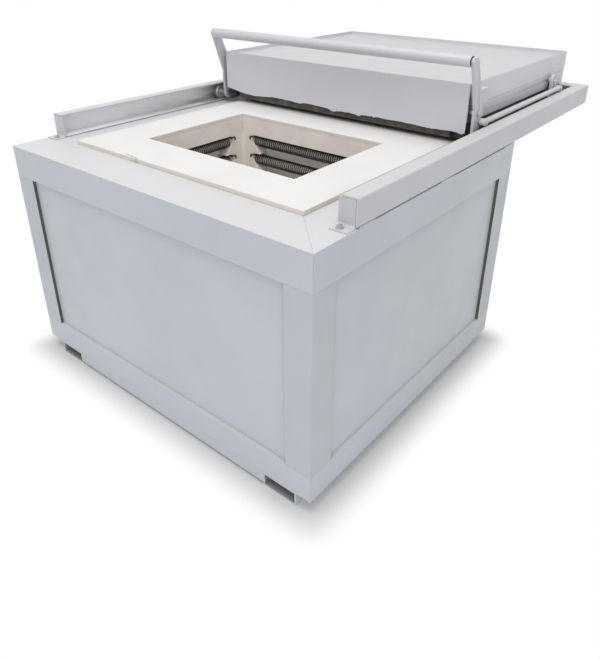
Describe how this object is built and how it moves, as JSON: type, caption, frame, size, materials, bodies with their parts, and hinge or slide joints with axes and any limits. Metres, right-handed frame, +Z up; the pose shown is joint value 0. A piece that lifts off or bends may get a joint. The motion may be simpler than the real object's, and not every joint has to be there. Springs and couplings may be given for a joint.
{
  "type": "cupellation furnace",
  "caption": "Top-loading electric chamber furnace with a heavy lid on rollers that a lever lowers onto the mouth, standing on fork tubes.",
  "frame": {"origin": "centre of the bounding box's base, on the floor", "axes": "+Z up, +Y from the casing's front to the back where the lid is parked, +X to the right seen from the front"},
  "size_m": [1.434, 2.09, 1.2364],
  "materials": {
    "casing_paint": "fine textured powder coat",
    "gear_paint": "fine textured powder coat",
    "fibre_board": "matt pressed fibre",
    "insulation_board": "matt pressed fibre",
    "brick": "matt porous",
    "lid_fibre": "matt, dark",
    "ceramic_tube": "matt",
    "element_wire": "oxidised",
    "steel": "machined",
    "zinc": "plain sheet",
    "dark_plastic": "matt",
    "dark_steel": "matt, heat darkened"
  },
  "bodies": {
    "casing": {"base_rail_front": "casing_paint", "base_rail_rear": "casing_paint", "base_rail_left": "casing_paint", "base_rail_right": "casing_paint", "front_skirt": "casing_paint", "fork_tube_left": "casing_paint", "fork_tube_right": "casing_paint", "corner_post_front_left": "casing_paint", "corner_post_front_right": "casing_paint", "corner_post_rear_left": "casing_paint", "corner_post_rear_right": "casing_paint", "front_panel": "casing_paint", "rear_panel": "casing_paint", "left_panel": "casing_paint", "right_panel": "casing_paint", "top_frame_front": "casing_paint", "top_frame_rear": "casing_paint", "top_frame_left": "casing_paint", "top_frame_right": "casing_paint", "floor_pan": "zinc", "floor_insulation": "insulation_board", "backing_boards": "insulation_board", "hearth_plate": "brick", "mouth_course": "brick", "chamber_walls": "brick", "corner_bricks": "brick", "collar": "fibre_board", "carrier_tubes": "ceramic_tube", "heating_coils_long": "element_wire", "heating_coils_short": "element_wire", "thermocouple": "ceramic_tube", "terminal_cover": "casing_paint", "terminal_block": "dark_plastic", "cable_gland": "dark_plastic", "cover_screws": "steel", "rail_left": "gear_paint", "rail_right": "gear_paint", "rail_crossbar": "gear_paint", "rail_brackets": "gear_paint", "bracket_bolts": "steel", "rail_pads": "gear_paint"},
    "front_axles": {"front_axle_pins": "steel"},
    "front_rollers": {"front_rollers": "steel"},
    "lever": {"lever_arm_left": "gear_paint", "lever_arm_right": "gear_paint", "handle_tube": "gear_paint", "lever_rod_pins": "steel"},
    "push_rods": {"push_rod_left": "gear_paint", "push_rod_right": "gear_paint"},
    "lid": {"lid_cover": "casing_paint", "lid_frame": "casing_paint", "lid_lining": "lid_fibre", "lid_side_bars": "dark_steel", "lid_stops": "gear_paint", "lid_pivot_pins": "steel"},
    "rear_cranks": {"rear_crank_left": "gear_paint", "rear_crank_right": "gear_paint", "rear_axle_pins": "steel", "crank_rod_pins": "steel"},
    "rear_rollers": {"rear_rollers": "steel"}
  },
  "joints": [
    {"name": "lid_roll", "type": "slide", "parent": "casing", "child": "front_axles", "axis": [0, 1, 0], "range_m": [-0.82, 0]},
    {"name": "front_roller_spin", "type": "hinge", "parent": "front_axles", "child": "front_rollers", "pos_m": [0, 0.003, 0.9364], "axis": [1, 0, 0], "range_deg": [0, 1424]},
    {"name": "lever_tilt", "type": "hinge", "parent": "front_axles", "child": "lever", "pos_m": [0, 0.003, 0.9364], "axis": [1, 0, 0], "range_deg": [0, 38.49]},
    {"name": "push_rod_turn", "type": "hinge", "parent": "lever", "child": "push_rods", "pos_m": [0, 0.023, 0.9974], "axis": [1, 0, 0], "range_deg": [-38.49, 0]},
    {"name": "lid_level", "type": "hinge", "parent": "lever", "child": "lid", "pos_m": [0, 0.007, 1.0284], "axis": [1, 0, 0], "range_deg": [-38.49, 0]},
    {"name": "crank_turn", "type": "hinge", "parent": "lid", "child": "rear_cranks", "pos_m": [0, 0.792, 1.0284], "axis": [1, 0, 0], "range_deg": [0, 38.49]},
    {"name": "rear_roller_spin", "type": "hinge", "parent": "rear_cranks", "child": "rear_rollers", "pos_m": [0, 0.788, 0.9364], "axis": [1, 0, 0], "range_deg": [0, 1424]}
  ],
  "couplings": [
    {"joint": "front_roller_spin", "follows": "lid_roll", "rad_per_m": -30.303},
    {"joint": "rear_roller_spin", "follows": "lid_roll", "rad_per_m": -30.303},
    {"joint": "push_rod_turn", "follows": "lever_tilt", "ratio": -1},
    {"joint": "lid_level", "follows": "lever_tilt", "ratio": -1},
    {"joint": "crank_turn", "follows": "lever_tilt", "ratio": 1}
  ]
}
